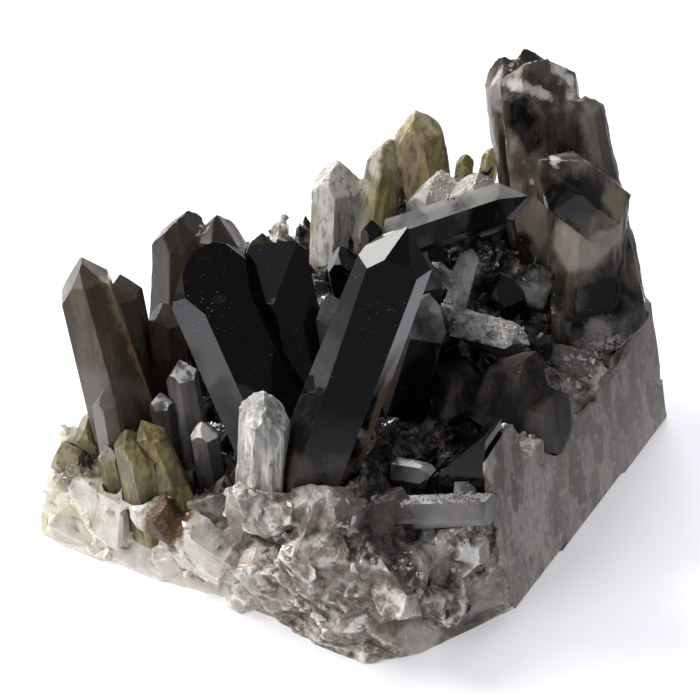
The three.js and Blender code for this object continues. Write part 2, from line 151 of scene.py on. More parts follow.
# 0 on the white band and 1 beside it, faded over its right, left and near borders
away = 0.0
for distance, sign, widens, (near, far) in (
    (across, 1, BAND_WIDENS, BAND_RIGHT), (across, -1, BAND_WIDENS, BAND_LEFT), (along, -1, 0, BAND_NEAR),
):
    beside = add_node(tree, "ShaderNodeMath", {"operation": "MULTIPLY"}, {0: distance, 1: float(sign)})
    reach = add_node(tree, "ShaderNodeMath", {"operation": "MULTIPLY_ADD"}, {0: along, 1: -widens, 2: beside})
    faded = add_node(tree, "ShaderNodeMapRange", inputs={"Value": reach, "From Min": near, "From Max": far})
    away = add_node(tree, "ShaderNodeMath", {"operation": "MAXIMUM"}, {0: away, 1: faded})
# The emission is painted light: a faint glow, dimmer beside the band, that lifts the table's shadows
satin = add_node(tree, "ShaderNodeBsdfPrincipled", inputs={
    "Base Color": painted(tree, linear("#e4e4e7"), [(away, "#7c7e84")]), "Roughness": 0.55,
    "Emission Color": painted(tree, linear("#f4f4f7"), [(away, "#505156")]), "Emission Strength": 0.40,
})
add_node(tree, "ShaderNodeOutputMaterial", inputs={"Surface": satin})
table_mesh.materials.append(laminate)

# Square lamps: their direction and distance, the length of their sides, and the radiance of their face
for name, direction, distance, size, radiance, colour in (
    ("window", (-0.76, -0.16, 0.62), 2.2, 0.7, 20.0, "#fffdf8"),
    ("back_light", (-0.32, 0.63, 0.71), 2.4, 1.7, 3.6, "#f6f8ff"),
    ("front_fill", (-0.39, -0.68, 0.62), 2.2, 1.0, 5.8, "#fbfbff"),
):
    light = bpy.data.lights.new(name, "AREA")
    light.shape = "SQUARE"
    light.size = size
    light.energy = math.pi * radiance * size * size
    light.color = linear(colour)[:3]
    lamp = bpy.data.objects.new(name, light)
    towards = Vector(direction).normalized()
    lamp.location = towards * distance
    lamp.rotation_euler = (-towards).to_track_quat("-Z", "Y").to_euler()
    scene.collection.objects.link(lamp)

world = bpy.data.worlds.new("room")
world.use_nodes = True
tree = world.node_tree
tree.nodes.clear()
direction = add_node(tree, "ShaderNodeTexCoord").outputs["Generated"]
facing = add_node(tree, "ShaderNodeVectorMath", {"operation": "DOT_PRODUCT"}, {
    0: direction, 1: BRIGHT_WALL.normalized(),
})
lit = add_node(tree, "ShaderNodeMapRange", inputs={"Value": facing, "From Min": -0.7, "From Max": 0.8})
height = add_node(tree, "ShaderNodeSeparateXYZ", inputs={0: direction}).outputs[2]
ceiling = add_node(tree, "ShaderNodeMapRange", inputs={"Value": height, "From Min": 0.78, "From Max": 0.92})
room = add_node(tree, "ShaderNodeBackground", inputs={
    "Color": painted(tree, linear("#808086"), [(lit, "#dcdfe4"), (ceiling, "#4c4c50")]), "Strength": 0.78,
})
add_node(tree, "ShaderNodeOutputWorld", inputs={"Surface": room})
scene.world = world
scene.view_settings.view_transform = "Standard"


# Matrix. The block of milky quartz that the crystals grew on: broken rough at the front, sawn flat
# underneath and on the right, where it is matt grey. Its skin is moved in and out by a few waves,
# broken up into flat facets of all sizes and roughened again, except on the cut sides.
MATRIX_VOXEL = 0.0011
FACET_SHARE = 0.05
FACET_CREASE = math.radians(13)
FINE_GRAIN = {
    "Cuts": 2, "Lump size": 0.0042, "Lump height": 0.0010, "Facet size": 0.0021, "Facet height": 0.0010,
    "Grain size": 0.0011, "Grain height": 0.0005, "Sink": 0.0,
}
SAW_TURN = math.radians(-1.5)
SAW_LEAN = math.atan(0.2)
SAW_DEPTH = 0.0009
CUT_DEPTH = 0.003
BED_INSET = 0.011
BED_HEIGHT = (0.012, 0.022)
RIDGE_SCALE = 0.0005
GRIT_SIZE = 0.0011
STREAKS_PER_METRE = 700.0
QUARTZ_IOR = 1.544
MM = 0.001


def copy_of(node_name, name):
    """A new object with a copy of a solid's mesh, its loose triangles joined at their corners."""
    mesh = nodes[node_name].data.copy()
    mesh.name = name
    mesh.materials.clear()
    work = bmesh.new()
    work.from_mesh(mesh)
    bmesh.ops.remove_doubles(work, verts=work.verts, dist=1e-6)
    work.to_mesh(mesh)
    work.free()
    return linked(name, mesh)


def applied(piece):
    """The piece's mesh with its modifiers applied and removed."""
    scene.view_layers[0].update()
    graph = bpy.context.evaluated_depsgraph_get()
    result = bpy.data.meshes.new_from_object(piece.evaluated_get(graph))
    piece.modifiers.clear()
    return result


def close_mesh(piece, voxel):
    """The piece's mesh made again of even small faces."""
    remesh = piece.modifiers.new("close_mesh", "REMESH")
    remesh.mode = "VOXEL"
    remesh.voxel_size = voxel
    return applied(piece)


def broken_up(piece, share):
    """The piece's mesh as this share of its faces, flat and of all sizes."""
    fewer = piece.modifiers.new("broken_up", "DECIMATE")
    fewer.ratio = share
    return applied(piece)


def points_of(mesh):
    co = np.zeros(len(mesh.vertices) * 3, np.float32)
    mesh.vertices.foreach_get("co", co)
    return co.reshape(-1, 3).astype(float)


def set_points(mesh, co):
    mesh.vertices.foreach_set("co", co.ravel().astype(np.float32))
    mesh.update()


def normals_of(mesh):
    directions = np.zeros(len(mesh.vertices) * 3, np.float32)
    mesh.vertex_normals.foreach_get("vector", directions)
    return directions.reshape(-1, 3).astype(float)


def set_attribute(mesh, name, values, domain="POINT"):
    attribute = mesh.attributes.get(name) or mesh.attributes.new(name, "FLOAT", domain)
    attribute.data.foreach_set("value", np.asarray(values, np.float32))


def ramp(values, low, high):
    """0 at low and 1 at high, whichever is greater, with a smooth step between."""
    t = np.clip((values - low) / (high - low), 0, 1)
    return t * t * (3 - 2 * t)


def ridges_of(mesh, rounds=6):
    """How far each point stands out of the surface around it: 0 in pits, 0.5 on flats, 1 on ridges."""
    ends = np.zeros(len(mesh.edges) * 2, np.int32)
    mesh.edges.foreach_get("vertices", ends)
    first, second = ends.reshape(-1, 2).T
    co = points_of(mesh)
    smooth = co.copy()
    count = np.bincount(ends, minlength=len(co))[:, None]
    for _ in range(rounds):
        total = np.zeros_like(smooth)
        for axis in range(3):
            total[:, axis] = np.bincount(first, smooth[second, axis], len(co))
            total[:, axis] += np.bincount(second, smooth[first, axis], len(co))
        smooth = 0.5 * smooth + 0.5 * total / np.maximum(count, 1)
    return np.clip(((co - smooth) * normals_of(mesh)).sum(axis=1) / RIDGE_SCALE, -1, 1) * 0.5 + 0.5


def smooth_but_creased(mesh, angle):
    """Shades the mesh smooth, except across creases sharper than the angle."""
    mesh.shade_smooth()
    mesh.set_sharp_from_angle(angle=angle)


def geometry_tree(name, inputs):
    """A Geometry Nodes tree with these named inputs, as name, socket type and value."""
    tree = bpy.data.node_groups.new(name, "GeometryNodeTree")
    tree.interface.new_socket("Geometry", in_out="INPUT", socket_type="NodeSocketGeometry")
    for label, kind, value in inputs:
        socket = tree.interface.new_socket(label, in_out="INPUT", socket_type=kind)
        if value is not None:
            socket.default_value = value
    tree.interface.new_socket("Geometry", in_out="OUTPUT", socket_type="NodeSocketGeometry")
    return tree, add_node(tree, "NodeGroupInput").outputs


def end_tree(tree, geometry, material):
    """Ends a tree in one real mesh with its material."""
    real = add_node(tree, "GeometryNodeRealizeInstances", inputs={"Geometry": geometry})
    dressed = add_node(tree, "GeometryNodeSetMaterial", inputs={"Geometry": real, "Material": material})
    add_node(tree, "NodeGroupOutput", inputs={"Geometry": dressed})
    return tree


def grown(piece, tree, values):
    """The mesh that the tree makes of the piece, with its named inputs set."""
    modifier = piece.modifiers.new(tree.name, "NODES")
    modifier.node_group = tree
    for item in tree.interface.items_tree:
        if item.item_type == "SOCKET" and item.in_out == "INPUT" and item.name in values:
            modifier[item.identifier] = values[item.name]
    return applied(piece)


def waves_tree():
    """Cuts the faces smaller and moves the skin in and out along its normals by noise of three sizes, as
    far as "rough" lets it. The two finer ones come and go in patches."""
    tree, given = geometry_tree("uneven_skin", [
        ("Material", "NodeSocketMaterial", None),
        ("Cuts", "NodeSocketInt", 0),
        ("Lump size", "NodeSocketFloat", 0.016),
        ("Lump height", "NodeSocketFloat", 0.0040),
        ("Facet size", "NodeSocketFloat", 0.0065),
        ("Facet height", "NodeSocketFloat", 0.0028),
        ("Grain size", "NodeSocketFloat", 0.0026),
        ("Grain height", "NodeSocketFloat", 0.0008),
        ("Patch size", "NodeSocketFloat", 0.013),
        ("Stretch", "NodeSocketVector", (1.0, 1.0, 1.0)),
        ("Sink", "NodeSocketFloat", 0.0003),
        ("Highest", "NodeSocketFloat", 0.0012),
    ])
    place = add_node(tree, "ShaderNodeVectorMath", {"operation": "MULTIPLY"}, {
        0: add_node(tree, "GeometryNodeInputPosition"), 1: given["Stretch"],
    })
    total = add_node(tree, "ShaderNodeMath", {"operation": "MULTIPLY"}, {0: given["Sink"], 1: -1.0})
    lively = None
    for label in ("Patch", "Lump", "Facet", "Grain"):
        scale = add_node(tree, "ShaderNodeMath", {"operation": "DIVIDE"}, {0: 1.0, 1: given[f"{label} size"]})
        noise = add_node(tree, "ShaderNodeTexNoise", inputs={"Vector": place, "Scale": scale, "Detail": 0.0})
        if label == "Patch":
            lively = add_node(tree, "ShaderNodeMapRange", inputs={
                "Value": noise, "From Min": 0.42, "From Max": 0.58, "To Min": 0.25, "To Max": 1.0,
            })
            continue
        centred = add_node(tree, "ShaderNodeMath", {"operation": "SUBTRACT"}, {0: noise, 1: 0.5})
        reach = given[f"{label} height"]
        if label != "Lump":
            reach = add_node(tree, "ShaderNodeMath", {"operation": "MULTIPLY"}, {0: reach, 1: lively})
        total = add_node(tree, "ShaderNodeMath", {"operation": "MULTIPLY_ADD"}, {
            0: centred, 1: reach, 2: total,
        })
    low_enough = add_node(tree, "ShaderNodeMath", {"operation": "MINIMUM"}, {0: total, 1: given["Highest"]})
    rough = add_node(tree, "GeometryNodeInputNamedAttribute", {"data_type": "FLOAT"}, {"Name": "rough"})
    height = add_node(tree, "ShaderNodeMath", {"operation": "MULTIPLY"}, {0: low_enough, 1: rough})
    outward = add_node(tree, "ShaderNodeVectorMath", {"operation": "SCALE"}, {
        0: add_node(tree, "GeometryNodeInputNormal"), "Scale": height,
    })
    cut = add_node(tree, "GeometryNodeSubdivideMesh", inputs={
        "Mesh": given["Geometry"], "Level": given["Cuts"],
    })
    moved = add_node(tree, "GeometryNodeSetPosition", inputs={"Geometry": cut, "Offset": outward})
    return end_tree(tree, moved, given["Material"])


def patches(tree, place, size, low, high, strength=1.0, detail=4.0):
    """Noise as patches of about this size in metres: 0 at low, and this strength at high."""
    cloud = add_node(tree, "ShaderNodeTexNoise", inputs={
        "Vector": place, "Scale": 1 / size, "Detail": detail, "Roughness": 0.6,
    })
    return add_node(tree, "ShaderNodeMapRange", inputs={
        "Value": cloud, "From Min": low, "From Max": high, "To Max": strength,
    })


def cells(tree, place, size, low, high, strength):
    """Angular pieces of about this size in metres, each of one random tone: 0 at low, and this strength
    at high."""
    sway = add_node(tree, "ShaderNodeTexNoise", inputs={"Vector": place, "Scale": 1.5 / size, "Detail": 1.0})
    bent = add_node(tree, "ShaderNodeVectorMath", {"operation": "MULTIPLY_ADD"}, {
        0: sway.outputs["Color"], 1: (0.5 * size, 0.5 * size, 0.5 * size), 2: place,
    })
    pieces = add_node(tree, "ShaderNodeTexVoronoi", inputs={"Vector": bent, "Scale": 1 / size})
    tone = add_node(tree, "ShaderNodeSeparateColor", inputs={"Color": pieces.outputs["Color"]})
    return add_node(tree, "ShaderNodeMapRange", inputs={
        "Value": tone, "From Min": low, "From Max": high, "To Max": strength,
    })


def overlap(tree, *masks):
    """Where all the masks meet."""
    result = masks[0]
    for mask in masks[1:]:
        result = add_node(tree, "ShaderNodeMath", {"operation": "MULTIPLY"}, {0: result, 1: mask})
    return result


def within(tree, place, centre, radius, border=1.5, end=None):
    """1 within this radius of a point, or of a line from it to its end, and 0 outside, with a cloudy
    border. In millimetres."""
    cloud = add_node(tree, "ShaderNodeTexNoise", inputs={
        "Vector": place, "Scale": 0.3 / (border * MM), "Detail": 3.0,
    })
    start = Vector(centre) * MM
    offset = add_node(tree, "ShaderNodeVectorMath", {"operation": "SUBTRACT"}, {0: place, 1: start})
    if end is not None:
        line = Vector(end) * MM - start
        share = add_node(tree, "ShaderNodeVectorMath", {"operation": "DOT_PRODUCT"}, {
            0: offset, 1: line / line.length_squared,
        })
        held = add_node(tree, "ShaderNodeMapRange", inputs={"Value": share})
        foot = add_node(tree, "ShaderNodeVectorMath", {"operation": "SCALE"}, {0: line, "Scale": held})
        offset = add_node(tree, "ShaderNodeVectorMath", {"operation": "SUBTRACT"}, {0: offset, 1: foot})
    away = add_node(tree, "ShaderNodeVectorMath", {"operation": "LENGTH"}, {0: offset})
    ragged = add_node(tree, "ShaderNodeMath", {"operation": "MULTIPLY_ADD"}, {
        0: cloud, 1: 6 * border * MM, 2: away,
    })
    edge = (radius + 3 * border) * MM
    return add_node(tree, "ShaderNodeMapRange", inputs={
        "Value": ragged, "From Min": edge + border * MM, "From Max": edge - border * MM,
    })


def attribute_mask(tree, name, low, high):
    """A stored attribute stretched from low..high to 0..1."""
    stored = add_node(tree, "ShaderNodeAttribute", {"attribute_name": name}).outputs["Fac"]
    return add_node(tree, "ShaderNodeMapRange", inputs={"Value": stored, "From Min": low, "From Max": high})


def front_left_of(co):
    """1 on the smoother front left of the block, and 0 away from it."""
    return ramp(-co[:, 0], 0.010, 0.030) * ramp(-co[:, 1], 0.050, 0.062)


saw_normal = np.array([
    math.cos(SAW_TURN) * math.cos(SAW_LEAN), math.sin(SAW_TURN) * math.cos(SAW_LEAN), math.sin(SAW_LEAN),
])
uneven_skin = waves_tree()
block = copy_of("matrix", "matrix_rock")
saw_reach = (points_of(block.data) @ saw_normal).max()
box_low, box_high = np.array(cad_box[0]), np.array(cad_box[1])

# Milky quartz, broken: glassy and sugary facets in grey, beige and smoky brown, bruised white along
# their edges, cream at the left, darker brown in the pits, and smoky dark between the crystals
milky_rock, tree, place = new_material("broken_milky_quartz")
across, along = add_node(tree, "ShaderNodeSeparateXYZ", inputs={0: place}).outputs[:2]
leftward, far_left, frontward, rightward = (
    add_node(tree, "ShaderNodeMapRange", inputs={"Value": value, "From Min": start, "From Max": full})
    for value, start, full in (
        (across, 0.014, -0.009), (across, -0.040, -0.058), (along, -0.046, -0.056), (across, 0.010, 0.034),
    )
)
bruised = attribute_mask(tree, "ridge", 0.54, 0.74), patches(tree, place, 0.006, 0.40, 0.56)
dusted = attribute_mask(tree, "upward", 0.1, 0.5), patches(tree, place, 0.005, 0.48, 0.60, 0.8)
colour = painted(tree, linear("#827161"), [
    # every facet its own tone
    (attribute_mask(tree, "tone", 0.5, 1.0), "#a39483"),
    (attribute_mask(tree, "tone", 0.5, 0.0), "#564b41"),
    # smoky brown at the right, smoky and milky clouds, chunks, and fine clouds
    (overlap(tree, rightward, patches(tree, place, 0.012, 0.36, 0.56, 0.7)), "#544330"),
    (patches(tree, place, 0.014, 0.45, 0.60, 0.8), "#57473a"),
    (patches(tree, place, 0.0075, 0.50, 0.62, 0.75), "#b8ab99"),
    (cells(tree, place, 0.0065, 0.55, 0.90, 0.6), "#bcae9b"),
    (cells(tree, place, 0.0050, 0.40, 0.10, 0.6), "#4d4237"),
    (patches(tree, place, 0.0015, 0.48, 0.64, 0.35), "#c9bca9"),
    (patches(tree, place, 0.0020, 0.50, 0.68, 0.45), "#463b31"),
    # white and cream at the front left
    (overlap(tree, leftward, frontward, patches(tree, place, 0.02, 0.22, 0.42, 0.85)), "#e2dbce"),
    (overlap(tree, far_left, frontward, patches(tree, place, 0.009, 0.42, 0.60, 0.9)), "#dccfab"),
    # white bruises and dust, and darker brown in the pits
    (overlap(tree, *bruised), "#ece9e2"),
    (overlap(tree, *dusted), "#dfdbd3"),
    (overlap(tree, attribute_mask(tree, "ridge", 0.44, 0.15), 0.75), "#3d3329"),
])
dark = painted(tree, linear("#24211f"), [(patches(tree, place, 0.005, 0.50, 0.62), "#756e66")])
colour = painted(tree, colour, [(attribute_mask(tree, "bed", 0.0, 1.0), dark)])
# Chunks of their own colour: a centre and a radius in millimetres, the colour, and how strong it is
for centre, radius, shade, strength in (
    ((36, 38, 56), 5, "#b5b2ad", 1.0),
    ((-21, -69, 22), 8, "#644a31", 1.0),
    ((-57, -62, 23), 7, "#665c46", 0.9),
    ((26, -56, 44), 8, "#958c83", 0.75),
    ((22, -61, 47), 6, "#dcd7cf", 0.8),
    ((50, -50, 30), 5, "#d3c8bd", 0.9),
    ((62, -45, 27), 5, "#f2efea", 0.95),
    ((62, -46, 4), 9, "#5a4e48", 0.8),
    ((48, -62, 12), 6, "#8a8069", 0.7),
    ((43, -51, 36), 9, "#5f554d", 0.8),
    ((51, 38, 41), 8, "#8f8885", 0.8),
    ((-2, -66, 25), 6, "#8d847c", 0.8),
    ((49, -63, 26), 4, "#574c43", 0.8),
    ((52, -59, 4), 6, "#cbc3ba", 0.8),
    ((62, -38, 7), 6, "#b3aaa2", 0.8),
):
    colour = painted(tree, colour, [(overlap(tree, within(tree, place, centre, radius), strength), shade)])
grit = add_node(tree, "ShaderNodeTexVoronoi", inputs={"Vector": place, "Scale": 1 / GRIT_SIZE})
sugary = add_node(tree, "ShaderNodeMapRange", inputs={
    "Value": patches(tree, place, 0.009, 0.45, 0.60), "To Min": 0.2, "To Max": 0.7,
})
relief = add_node(tree, "ShaderNodeBump", inputs={"Strength": sugary, "Distance": 0.0004, "Height": grit})
gloss = add_node(tree, "ShaderNodeMapRange", inputs={
    "Value": patches(tree, place, 0.009, 0.45, 0.60), "To Min": 0.08, "To Max": 0.5,
})
stone = add_node(tree, "ShaderNodeBsdfPrincipled", inputs={
    "Base Color": colour, "Roughness": gloss, "IOR": QUARTZ_IOR, "Normal": relief,
    "Subsurface Weight": 0.35, "Subsurface Scale": 0.003, "Subsurface Radius": (1.0, 0.9, 0.75),
})
add_node(tree, "ShaderNodeOutputMaterial", inputs={"Surface": stone})

# The same quartz where the saw went through: matt grey, in the chunks that the cut laid open, drawn out
# down the side, with a few fine streaks and paler towards the back
sawn_quartz, tree, place = new_material("sawn_milky_quartz")
drawn_out = add_node(tree, "ShaderNodeMapping", inputs={"Vector": place, "Scale": (1, 1, 0.3)})
along = add_node(tree, "ShaderNodeSeparateXYZ", inputs={0: place}).outputs[1]
backward = add_node(tree, "ShaderNodeMapRange", inputs={
    "Value": along, "From Min": -0.01, "From Max": 0.05, "To Max": 0.3,
})
colour = painted(tree, linear("#8e847d"), [
    (patches(tree, drawn_out, 0.010, 0.42, 0.60), "#aea59d"),
    (patches(tree, place, 0.018, 0.50, 0.60, 0.6), "#8f7f70"),
    (cells(tree, drawn_out, 0.0080, 0.50, 0.90, 0.75), "#bab1a8"),
    (cells(tree, drawn_out, 0.0060, 0.40, 0.10, 0.75), "#625954"),
    (patches(tree, drawn_out, 0.0030, 0.50, 0.66, 0.55), "#665d57"),
    (patches(tree, drawn_out, 0.0010, 0.48, 0.66, 0.4), "#6a615b"),
    (patches(tree, place, 0.0020, 0.56, 0.70, 0.6), "#cfc8bf"),
    (patches(tree, place, 0.006, 0.58, 0.66, 0.6), "#625a54"),
    (backward, "#b8b1a8"),
])
streaks = add_node(tree, "ShaderNodeTexNoise", inputs={
    "Vector": drawn_out, "Scale": STREAKS_PER_METRE, "Detail": 3.0,
})
relief = add_node(tree, "ShaderNodeBump", inputs={"Strength": 0.3, "Distance": 0.0003, "Height": streaks})
stone = add_node(tree, "ShaderNodeBsdfPrincipled", inputs={
    "Base Color": colour, "Roughness": 0.62, "IOR": QUARTZ_IOR, "Normal": relief,
})
add_node(tree, "ShaderNodeOutputMaterial", inputs={"Surface": stone})


def roughened(values):
    """The block's mesh with an uneven skin, but flat where it is cut and smoother at the front left."""
    co = points_of(block.data)
    from_saw = saw_reach - co @ saw_normal
    rough = ramp(from_saw, 0.25 * SAW_DEPTH, SAW_DEPTH) * ramp(co[:, 2], 0.2 * CUT_DEPTH, CUT_DEPTH)
    set_attribute(block.data, "rough", rough * (1 - 0.2 * front_left_of(co)))
    return grown(block, uneven_skin, {"Material": milky_rock, **values})


block.data = close_mesh(block, MATRIX_VOXEL)
block.data = roughened({})
block.data = broken_up(block, FACET_SHARE)
tones = np.random.default_rng(3).random(len(block.data.polygons))
set_attribute(block.data, "tone", tones, "FACE")
block.data = roughened(FINE_GRAIN)

# Nothing stands out past the saw cut, the underside and the box of the solids
co = points_of(block.data)
co[:, 2] = np.maximum(co[:, 2], 0)
co -= np.outer(np.maximum(co @ saw_normal - saw_reach, 0), saw_normal)
co = np.clip(co, box_low, box_high)
set_points(block.data, co)
from_saw = saw_reach - co @ saw_normal
from_sides = [co[:, 0] - box_low[0], co[:, 1] - box_low[1], box_high[1] - co[:, 1], from_saw]
from_edge = np.minimum.reduce(from_sides)
in_bed = ramp(from_edge, 0.6 * BED_INSET, 1.5 * BED_INSET) * ramp(co[:, 2], *BED_HEIGHT)
set_attribute(block.data, "bed", in_bed)
set_attribute(block.data, "ridge", ridges_of(block.data))
set_attribute(block.data, "upward", normals_of(block.data)[:, 2])
block.data.materials.clear()
block.data.materials.append(milky_rock)
block.data.materials.append(sawn_quartz)
sawn = 1 - ramp(from_saw, 0.0004, 0.0010)
for face in block.data.polygons:
    face.material_index = int(sum(sawn[v] for v in face.vertices) / len(face.vertices) > 0.5)
smooth_but_creased(block.data, FACET_CREASE)
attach(block, "root")
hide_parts("matrix")


# Black crystals. Morion, smoky quartz so deeply coloured that thick crystals are black and only thin
# edges let brown through. Each is one flat-faced growth, its edges worn a little round, rooted in the bed.
EDGE_WIDTH = 0.00014
EDGE_ANGLE = math.radians(8)
FLAT_ANGLE = math.radians(0.6)
# The sides that a pale grey film lies on and how strong it is there. The high film fades in upwards
FILMS = {
    "low_film": (Vector((-0.22, -0.96, 0.12)).normalized(), 0.24),
    "high_film": (Vector((0.97, -0.08, -0.24)).normalized(), 0.95),
}
HIGH_FILM_HEIGHT = (0.071, 0.087)
LINES_PER_METRE = (25, 600, 1)
WAVES_PER_METRE = 130.0
MORION = {"tint": "#ada68f", "density": 380.0}


def flat_faced(name, node_name, material):
    """A solid's mesh with whole flat faces, narrow bevelled edges, and a UV map in metres that runs
    along the longest edge of each face, which is the crystal's own length. Its attributes say how far
    a face looks up, and how much of a pale grey film lies on it: most on two sides."""
    piece = copy_of(node_name, name)
    work = bmesh.new()
    work.from_mesh(piece.data)
    bmesh.ops.dissolve_limit(
        work, angle_limit=FLAT_ANGLE, verts=work.verts, edges=work.edges, use_dissolve_boundaries=False,
    )
    grain = work.loops.layers.uv.new("grain")
    upward = work.faces.layers.float.new("upward")
    films = [(work.faces.layers.float.new(label), *film) for label, film in FILMS.items()]
    for face in work.faces:
        longest = max(face.edges, key=lambda edge: edge.calc_length())
        along = (longest.verts[1].co - longest.verts[0].co).normalized()
        if along.z < 0:
            along.negate()
        across = face.normal.cross(along)
        for loop in face.loops:
            loop[grain].uv = (loop.vert.co.dot(across), loop.vert.co.dot(along))
        face[upward] = face.normal.z
        for label, side, strength in films:
            face[label] = strength * float(ramp(face.normal.dot(side), 0.95, 0.99))
    work.to_mesh(piece.data)
    work.free()
    bevel = piece.modifiers.new("worn_edges", "BEVEL")
    bevel.width = EDGE_WIDTH
    bevel.segments = 2
    bevel.limit_method = "ANGLE"
    bevel.angle_limit = EDGE_ANGLE
    piece.data = applied(piece)
    piece.data.materials.append(material)
    return piece


def quartz(name, tint, density, body, clear, clouds, cloudy, finish, shine=0.5, dusty=None, crusty=None,
           streaky=0.0, flecks=None, filmed=1.0, zones=()):
    """Quartz that tints the light that goes through it, the more the greater its density per metre, and
    shows its body colour as far as it isn't clear. Clouds and streaks run up it, growth lines run across
    its faces, a pale grey film lies on two of its sides, and rock dust lies on it as white grains. Faces
    that look up more than "dusty" hold grey dust, and more than "crusty" a white crust. Flecks are how
    strong, light and dark its fine cracks are. A zone is a centre and a radius in millimetres, a colour,
    how much it hides the body, how matt it is and, where it is long, the end of its line."""
    material, tree, place = new_material(name)
    lines = add_node(tree, "ShaderNodeMapping", inputs={
        "Vector": add_node(tree, "ShaderNodeUVMap", {"uv_map": "grain"}), "Scale": LINES_PER_METRE,
    })
    growth = add_node(tree, "ShaderNodeTexNoise", inputs={"Vector": lines, "Scale": 1.0, "Detail": 2.0})
    waves = add_node(tree, "ShaderNodeTexNoise", inputs={
        "Vector": place, "Scale": WAVES_PER_METRE, "Detail": 1.0,
    })
    first = add_node(tree, "ShaderNodeBump", inputs={"Strength": 0.03, "Distance": 0.0002, "Height": growth})
    relief = add_node(tree, "ShaderNodeBump", inputs={
        "Strength": 0.2, "Distance": 0.0006, "Height": waves, "Normal": first,
    })

    upright = add_node(tree, "ShaderNodeMapping", inputs={"Vector": place, "Scale": (1, 1, 0.25)})
    veils = patches(tree, upright, 0.007, 0.75 - cloudy, 1.0 - cloudy)
    ribs = add_node(tree, "ShaderNodeMapping", inputs={"Vector": place, "Scale": (1, 1, 0.07)})
    colour = painted(tree, linear(body), [
        (veils, clouds),
        (patches(tree, ribs, 0.0018, 0.50, 0.60, streaky), clouds),
        (patches(tree, ribs, 0.0026, 0.54, 0.64, streaky), body),
    ])
    hides = add_node(tree, "ShaderNodeMath", {"operation": "MAXIMUM"}, {0: veils, 1: 1 - clear})
    matt = overlap(tree, veils, 0.5)
    for centre, radius, shade, hiding, mattness, *end in zones:
        inside = within(tree, place, centre, radius, min(3.0, radius / 3), *end)
        colour = painted(tree, colour, [(inside, shade)])
        hides = add_node(tree, "ShaderNodeMix", inputs={"Factor": inside, "A": hides, "B": hiding})
        matt = add_node(tree, "ShaderNodeMix", inputs={"Factor": inside, "A": matt, "B": mattness})

    if flecks is not None:
        strong, light, dark = flecks
        cloudy_there = add_node(tree, "ShaderNodeMapRange", inputs={
            "Value": matt, "From Min": 0.12, "From Max": 0.3, "To Max": strong,
        })
        healed = overlap(tree, patches(tree, place, 0.0016, 0.46, 0.62), cloudy_there)
        open_cracks = overlap(tree, patches(tree, upright, 0.0013, 0.50, 0.64), cloudy_there)
        colour = painted(tree, colour, [(healed, light), (open_cracks, dark)])
        hides = add_node(tree, "ShaderNodeMath", {"operation": "MAXIMUM"}, {0: hides, 1: healed})

    height = add_node(tree, "ShaderNodeSeparateXYZ", inputs={0: place}).outputs[2]
    high_up = add_node(tree, "ShaderNodeMapRange", inputs={
        "Value": height, "From Min": HIGH_FILM_HEIGHT[0], "From Max": HIGH_FILM_HEIGHT[1],
    })
    uneven = patches(tree, place, 0.02, 0.0, 0.45, filmed)
    low_film = overlap(tree, attribute_mask(tree, "low_film", 0.0, 1.0), uneven)
    high_film = overlap(tree, attribute_mask(tree, "high_film", 0.0, 1.0), uneven, high_up)
    grains = patches(tree, place, 0.0008, 0.675, 0.72, detail=2.0)
    specks = overlap(tree, grains, patches(tree, place, 0.02, 0.45, 0.6, 0.5))
    coats = [(low_film, "#aaa6ac"), (high_film, "#d2cdcc"), (specks, "#cfcbc4")]
    if dusty is not None:
        facing_up = attribute_mask(tree, "upward", dusty, dusty + 0.15)
        coats.append((overlap(tree, facing_up, patches(tree, place, 0.012, 0.30, 0.55, 0.75)), "#8d8a86"))
    if crusty is not None:
        facing_up = attribute_mask(tree, "upward", crusty, crusty + 0.1)
        coats.append((overlap(tree, facing_up, patches(tree, place, 0.0035, 0.40, 0.52)), "#e8e5df"))
    for cover, shade in coats:
        colour = painted(tree, colour, [(cover, shade)])
        hides = add_node(tree, "ShaderNodeMath", {"operation": "MAXIMUM"}, {0: hides, 1: cover})
        matt = add_node(tree, "ShaderNodeMath", {"operation": "MAXIMUM"}, {0: matt, 1: cover})
    gloss = add_node(tree, "ShaderNodeMapRange", inputs={"Value": matt, "To Min": finish, "To Max": 0.6})
    see_through = add_node(tree, "ShaderNodeMath", {"operation": "SUBTRACT"}, {0: 1.0, 1: hides})
    surface = add_node(tree, "ShaderNodeBsdfPrincipled", inputs={
        "Base Color": colour, "Roughness": gloss, "Transmission Weight": see_through, "IOR": QUARTZ_IOR,
        "Specular IOR Level": shine, "Normal": relief,
    })
    inside = add_node(tree, "ShaderNodeVolumeAbsorption", inputs={"Color": linear(tint), "Density": density})
    add_node(tree, "ShaderNodeOutputMaterial", inputs={"Surface": surface, "Volume": inside})
    return material


def place_crystals(shape, slot, material, names, **how):
    """Dresses each of these solids in a piece of the shape and material."""
    for node_name in names:
        piece = shape(f"{node_name}_quartz", node_name, material, **how)
        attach(piece, "root")
        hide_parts(node_name)


# Smooth growth faces, black with a thin pale grey film on two sides, and brown low on the front crystal's
# right
morion = quartz(
    "morion_quartz", **MORION, body="#151312", clear=0.35, clouds="#3a342e", cloudy=0.12, finish=0.05,
    shine=0.16, zones=(
        ((35, -42, 80), 3.5, "#a8957d", 0.9, 0.4, (33, -43, 71)),
        ((33, -43, 71), 4, "#735f45", 0.9, 0.4, (25, -44, 46)),
        ((14, -60, 47), 7, "#4f4741", 0.85, 0.4),
        ((25, -54, 47), 5, "#4c4643", 0.85, 0.4),
    ),
)
place_crystals(flat_faced, "morion", morion, [
    "crystal_front", "crystals_centre", "crystals_middle_thin", "crystal_under_lying", "crystal_peak",
])
